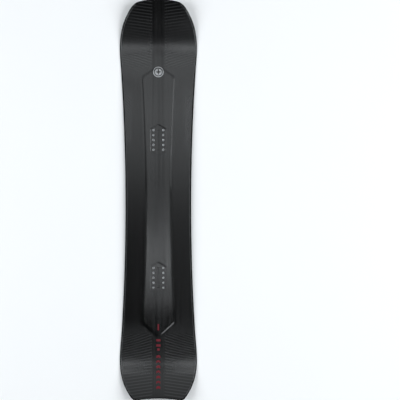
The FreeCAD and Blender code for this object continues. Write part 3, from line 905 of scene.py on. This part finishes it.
def barrel_profile(y):
    """The outline of a barrel with its thread as plain rings, from the foot's seam and back to it."""
    station = np.array([y])
    top = float(core_z(station)[0]) + UPPER_T + TOP_T + PLATEAU_H - POCKET_DEPTH - BARREL_SUNK
    foot = float(base_z(station)[0]) + EDGE_T + BARREL_RISE
    profile = [
        (BARREL_R - BARREL_SEAM, foot), (BARREL_R, foot), (BARREL_R, top - BARREL_BREAK),
        (BARREL_R - BARREL_BREAK, top), (MOUTH_R, top),
    ]
    z = top - (MOUTH_R - BORE_R)
    profile.append((BORE_R, z))
    while z > foot + THREAD_PITCH:
        profile += [(BORE_R + THREAD_DEPTH, z - THREAD_PITCH / 2), (BORE_R, z - THREAD_PITCH)]
        z -= THREAD_PITCH
    return profile + [(BORE_R, foot), (BARREL_R - BARREL_SEAM, foot)]


def make_inserts():
    """Threaded barrels, just under the pockets' floors."""
    for pack, pack_y in zip(("front", "rear"), PACK_Y):
        points, faces = [], []
        for site in insert_sites():
            if abs(site[1] - pack_y) > ROW_PITCH * ROWS / 2:
                continue
            more, quads = lathe(barrel_profile(site[1])[::-1], site)
            faces += [tuple(i + len(points) for i in q) for q in quads]
            points += more
        piece = add_piece(pack + "_threaded_inserts", points, faces)
        piece.data.set_sharp_from_angle(angle=math.radians(METAL_CREASE))
        finish(piece, "insert_steel", pack + "_inserts")


def printed(name, loop, slot, material=None, lift=INK_LIFT, holes=(), nodes=(), step=4.0):
    """A thin printed or laid-in shape that follows the top skin."""
    def low(x, y):
        return skin_z(x, y) - INK_SUNK

    def high(x, y):
        return skin_z(x, y) + lift

    start, end = loop.min(0) + step / 2, loop.max(0)
    inner = grid(np.arange(start[0], end[0], step), np.arange(start[1], end[1], step))
    inner = inner[inside(inner, loop)]
    for hole in holes:
        inner = inner[~inside(inner, hole)]
    plan, faces = triangulate([loop], inner, holes)
    finish(closed_sheet(name, plan, faces, low, high), slot, *nodes, material=material)


def rectangle(x0, x1, y0, y1):
    return np.array([(x0, y0), (x1, y0), (x1, y1), (x0, y1)], float)


def chevron(y, notch):
    """A pointed bar with a notched foot."""
    half, foot, shoulder = CHEVRON_HALF_W, y - CHEVRON_HALF_L, y + CHEVRON_SHOULDER
    lower = [(-half, foot), (0, foot + notch), (half, foot)]
    upper = [(half, shoulder), (0, y + CHEVRON_HALF_L), (-half, shoulder)]
    return np.array(lower + upper)


def make_marks():
    """The badge, the tail's row of marks and the stance scale between the inserts."""
    centre = (0, BADGE_Y)
    printed("badge", ring_loop(centre, BADGE_R, ROUND_SIDES), "emblem",
            holes=[star_loop(BADGE_Y, BADGE_STAR_R)], nodes=["topsheet_emblem"], step=BADGE_STEP)
    printed("badge_ring", ring_loop(centre, RING_R, ROUND_SIDES), "topsheet", "ink_dark", RING_LIFT,
            holes=[ring_loop(centre, RING_BORE_R, ROUND_SIDES)], step=RING_STEP)
    for i in range(CHEVRONS):
        loop = chevron(CHEVRON_Y - CHEVRON_PITCH * i, NOTCHES[i % 2])
        printed("tail_mark_%d" % (i + 1), loop, "topsheet", "ink_red")
    for i, (y, half) in enumerate(TAIL_BARS):
        loop = rectangle(-half, half, y - TAIL_BAR_HALF_L, y + TAIL_BAR_HALF_L)
        printed("tail_bar_%d" % (i + 1), loop, "topsheet", "ink_red")
    printed("tail_lead", rectangle(-TAIL_LEAD_HALF_W, TAIL_LEAD_HALF_W, *TAIL_LEAD_Y), "topsheet", "ink_red")
    for pack, pack_y in zip(("front", "rear"), PACK_Y):
        bars = [rectangle(-STANCE_HALF_W, STANCE_HALF_W, pack_y - STANCE_HALF_L, pack_y + STANCE_HALF_L)]
        for y in (pack_y - TICK_Y, pack_y + TICK_Y):
            bars.append(rectangle(-TICK_HALF_W, TICK_HALF_W, y - TICK_HALF_L, y + TICK_HALF_L))
        for i, bar in enumerate(bars):
            printed("%s_stance_%d" % (pack, i + 1), bar, "topsheet", "ink_dark")


def paint_carried_nodes():
    """Materials for the CAD nodes that stay as they are."""
    slots = {part["node"]: part["material_slot"] for part in frame["record"]["subparts"]}
    for name, node in frame["nodes"].items():
        node.data.materials.clear()
        node.data.materials.append(MATERIALS[slots[name]])


def make_stage():
    """A plain pale floor."""
    mesh = bpy.data.meshes.new("floor")
    corners = rectangle(-FLOOR_REACH, FLOOR_REACH, -FLOOR_REACH, FLOOR_REACH) * MM
    mesh.from_pydata([(x, y, 0.0) for x, y in corners.tolist()], [], [(0, 1, 2, 3)])
    floor = bpy.data.objects.new("floor", mesh)
    floor.location.z = FLOOR_Z * MM
    bpy.context.collection.objects.link(floor)
    made, tree, shader = surface("floor_paper", Roughness=0.9, Specular_IOR_Level=0.1)
    speck = noise(tree, stretched(tree, 3, 3, 3), 1.0)
    paper = blend_colour(tree, speck, (0.9, 0.9, 0.9, 1), (0.915, 0.915, 0.915, 1))
    link(tree, paper, shader.inputs["Base Color"])
    mesh.materials.append(made)


# Name, place and size in metres, and brightness of each lamp. The boxes face the board, the others the floor.
LAMPS = [
    ("left_box", (-4.5, 0.0, 3.5), (4.0, 4.0), 5.1),
    ("right_box", (4.5, 0.0, 3.5), (4.0, 4.0), 5.1),
    ("front_panel", (-0.2, 0.93, 7.0), (3.9, 1.14), 1.4),
    ("front_fill", (0.0, 3.6, 7.0), (5.0, 4.0), 0.75),
    ("middle_panel", (0.0, -0.05, 8.0), (0.9, 0.7), 0.8),
    ("rear_panel", (0.0, -0.64, 9.0), (0.9, 0.4), 5.2),
    ("bevel_strip", (2.15, 0.9, 7.0), (0.3, 1.3), 6.0),
    ("pocket_strip", (4.1, 0.0, 7.0), (0.6, 3.0), 11.0),
    ("tail_panel", (1.9, -3.2, 7.0), (1.4, 1.7), 4.5),
]


def softbox(name, place, target, size, radiance):
    """A rectangular lamp of an even brightness that faces its target."""
    light = bpy.data.lights.new(name, "AREA")
    light.shape = "RECTANGLE"
    light.size, light.size_y = size
    light.energy = math.pi * size[0] * size[1] * radiance
    light.color = LAMP_COLOUR
    lamp = bpy.data.objects.new(name, light)
    lamp.location = place
    lamp.rotation_euler = (Vector(target) - Vector(place)).to_track_quat("-Z", "Y").to_euler()
    lamp.visible_camera = False
    bpy.context.collection.objects.link(lamp)


def make_light():
    """A dim grey world that darkens overhead, two side boxes, and the lamps above that the skin mirrors."""
    world = bpy.data.worlds.new("studio")
    bpy.context.scene.world = world
    world.use_nodes = True
    tree = world.node_tree
    where = tree.nodes.new("ShaderNodeTexCoord").outputs["Generated"]
    up = new_node(tree, "ShaderNodeSeparateXYZ", {0: where}).outputs[2]
    link(tree, ramp(tree, up, *WORLD_FADE, *WORLD_LEVELS), tree.nodes["Background"].inputs["Strength"])
    for name, place, size, radiance in LAMPS:
        target = (0, 0, 0) if name.endswith("box") else (place[0], place[1], 0)
        softbox(name, place, target, size, radiance)


def make_camera():
    """Straight down from far away, with the board left of the frame's centre."""
    camera = bpy.data.cameras.new("camera")
    camera.lens = LENS
    camera.clip_end = CLIP_END
    eye = bpy.data.objects.new("camera", camera)
    height = LENS / camera.sensor_width * FRAME_WIDTH + FRAME_Z
    eye.location = (CAMERA_X * MM, 0.0, height * MM)
    bpy.context.collection.objects.link(eye)
    bpy.context.scene.camera = eye
    bpy.context.scene.view_settings.view_transform = "Standard"


paint_carried_nodes()
make_topsheet()
make_base()
make_edges()
make_inserts()
make_marks()
make_stage()
make_light()
make_camera()
